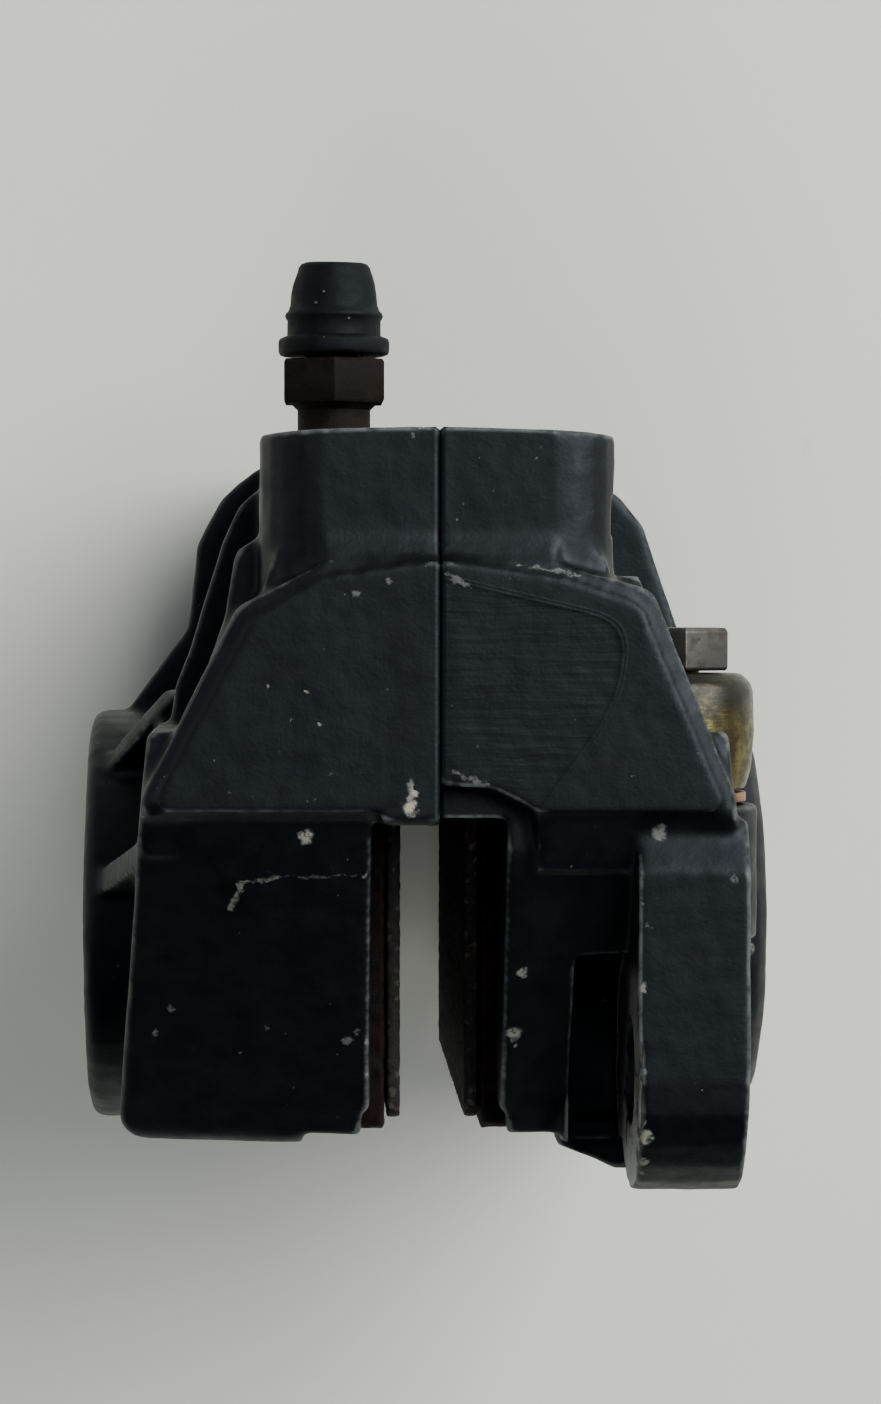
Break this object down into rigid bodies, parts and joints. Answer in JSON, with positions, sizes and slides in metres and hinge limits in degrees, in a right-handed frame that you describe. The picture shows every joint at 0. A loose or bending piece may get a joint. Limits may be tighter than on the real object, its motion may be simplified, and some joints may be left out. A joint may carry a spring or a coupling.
{
  "type": "hydraulic disc brake caliper",
  "caption": "Opposed-piston motorcycle brake caliper in two bolted black castings, with pads and pins in the disc slot, bleed screw with cap, fluid inlet and mounting lugs.",
  "frame": {"origin": "under the middle of the whole caliper's box, on the far end face that the caliper stands on", "axes": "+Z from the far end to the near end, along the disc's direction of travel; +X across the disc, from the outer half to the inner half that carries the lugs; +Y radially outward, towards the bleed screw"},
  "size_m": [0.0726, 0.0962, 0.108],
  "materials": {
    "black_paint": "satin black paint over a sand-cast skin, chipped on its edges",
    "rusty_steel": "reddish-brown surface rust",
    "plated_steel": "dull zinc plate",
    "dark_steel": "blackened steel with brown rust in its corners",
    "chrome": "hard chrome, ground",
    "lining": "matt friction lining, scored by the disc",
    "rubber": "matt black rubber",
    "yellow_brass": "yellow brass, tarnished grey on top",
    "copper": "soft copper"
  },
  "bodies": {
    "caliper_body": {"outer_half": "black_paint", "inner_half": "black_paint", "body_bolt_1": "dark_steel", "body_bolt_2": "dark_steel", "body_bolt_3": "dark_steel", "body_bolt_4": "dark_steel", "outer_piston_seal": "rubber", "inner_piston_seal": "rubber", "outer_dust_seal": "rubber", "inner_dust_seal": "rubber", "pad_pin_near": "plated_steel", "pad_pin_far": "plated_steel", "pin_clip_near": "plated_steel", "pin_clip_far": "plated_steel", "pad_spring_near": "plated_steel", "pad_spring_far": "plated_steel", "crossover_seal": "rubber", "inlet_washer": "copper", "inlet_union": "yellow_brass", "inlet_plug": "dark_steel"},
    "outer_piston_body": {"outer_piston": "chrome"},
    "inner_piston_body": {"inner_piston": "chrome"},
    "outer_pad": {"outer_pad_plate": "rusty_steel", "outer_pad_lining": "lining"},
    "inner_pad": {"inner_pad_plate": "rusty_steel", "inner_pad_lining": "lining"},
    "bleeder": {"bleed_screw": "dark_steel"},
    "bleeder_cap": {"bleed_dust_cap": "rubber"}
  },
  "joints": [
    {"name": "outer_piston_slide", "type": "slide", "parent": "caliper_body", "child": "outer_piston_body", "axis": [1, 0, 0], "range_m": [-0.0036, 0.0012]},
    {"name": "inner_piston_slide", "type": "slide", "parent": "caliper_body", "child": "inner_piston_body", "axis": [-1, 0, 0], "range_m": [-0.0036, 0.0012]},
    {"name": "outer_pad_slide", "type": "slide", "parent": "caliper_body", "child": "outer_pad", "axis": [1, 0, 0], "range_m": [-0.0036, 0.0012]},
    {"name": "inner_pad_slide", "type": "slide", "parent": "caliper_body", "child": "inner_pad", "axis": [-1, 0, 0], "range_m": [-0.0036, 0.0012]},
    {"name": "bleed_screw_turn", "type": "hinge", "parent": "caliper_body", "child": "bleeder", "pos_m": [-0.0097, 0.033, 0.054], "axis": [0, 1, 0], "range_deg": [0, 180]},
    {"name": "bleed_cap_pull", "type": "slide", "parent": "bleeder", "child": "bleeder_cap", "axis": [0, 1, 0], "range_m": [0, 0.02]}
  ],
  "couplings": [
    {"joint": "inner_piston_slide", "follows": "outer_piston_slide", "ratio": 1},
    {"joint": "outer_pad_slide", "follows": "outer_piston_slide", "ratio": 1},
    {"joint": "inner_pad_slide", "follows": "outer_piston_slide", "ratio": 1}
  ]
}
